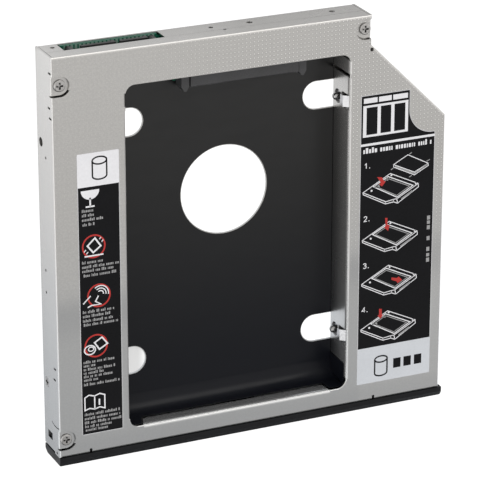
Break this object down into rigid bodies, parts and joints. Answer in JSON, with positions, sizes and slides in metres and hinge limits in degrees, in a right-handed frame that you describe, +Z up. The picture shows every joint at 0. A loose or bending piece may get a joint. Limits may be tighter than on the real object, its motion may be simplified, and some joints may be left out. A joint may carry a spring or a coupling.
{
  "type": "laptop drive caddy",
  "caption": "Folded sheet-metal caddy that holds a small hard drive in an open bay and takes an optical drive's place in a laptop.",
  "frame": {"origin": "under the middle of the whole caddy, on the plane of the tray's underside", "axes": "+Z up out of the labelled face, +Y to the rear wall with the laptop side plug, +X to the side with the cut-off corner"},
  "size_m": [0.129, 0.129, 0.0127],
  "materials": {
    "case_sheet": "satin folded sheet with a fine embossed dot texture",
    "black_film": "smooth black insulating film",
    "board_green": "green solder mask on glass board",
    "screw_steel": "bright plated steel",
    "chip_body": "small moulded chip parts",
    "socket_plastic": "dark moulded plastic",
    "plug_plastic": "black moulded plastic",
    "contact_gold": "gold plated contact strip",
    "bezel_plastic": "black moulded plastic, fine grain",
    "spring_steel": "bright spring strip",
    "pin_steel": "turned steel pin",
    "label_film": "printed black label with white and red fields"
  },
  "bodies": {
    "root": {"top_cover": "case_sheet", "bottom_tray": "case_sheet", "bay_film": "black_film", "adapter_board": "board_green", "board_screws": "screw_steel", "chip_capacitors": "chip_body", "chip_resistors": "chip_body", "drive_socket": "socket_plastic", "drive_socket_contacts": "contact_gold", "front_bezel": "bezel_plastic", "host_plug": "plug_plastic", "host_plug_contacts": "contact_gold", "cover_screws": "screw_steel", "side_screw": "screw_steel", "label_left": "label_film", "label_right": "label_film"},
    "latch_right_rear": {"latch_spring_right_rear": "spring_steel", "latch_pin_right_rear": "pin_steel"},
    "latch_right_front": {"latch_spring_right_front": "spring_steel", "latch_pin_right_front": "pin_steel"},
    "latch_left_rear": {"latch_spring_left_rear": "spring_steel", "latch_pin_left_rear": "pin_steel"},
    "latch_left_front": {"latch_spring_left_front": "spring_steel", "latch_pin_left_front": "pin_steel"}
  },
  "joints": [
    {"name": "latch_right_rear_flex", "type": "hinge", "parent": "root", "child": "latch_right_rear", "pos_m": [0.03175, 0.02345, 0.0062], "axis": [0, 0, -1], "range_deg": [0, 6], "stiffness_Nm_per_rad": 0.6},
    {"name": "latch_right_front_flex", "type": "hinge", "parent": "root", "child": "latch_right_front", "pos_m": [0.03175, -0.05315, 0.0062], "axis": [0, 0, -1], "range_deg": [0, 6], "stiffness_Nm_per_rad": 0.6},
    {"name": "latch_left_rear_flex", "type": "hinge", "parent": "root", "child": "latch_left_rear", "pos_m": [-0.04235, 0.02345, 0.0062], "axis": [0, 0, 1], "range_deg": [0, 6], "stiffness_Nm_per_rad": 0.6},
    {"name": "latch_left_front_flex", "type": "hinge", "parent": "root", "child": "latch_left_front", "pos_m": [-0.04235, -0.05315, 0.0062], "axis": [0, 0, 1], "range_deg": [0, 6], "stiffness_Nm_per_rad": 0.6}
  ]
}
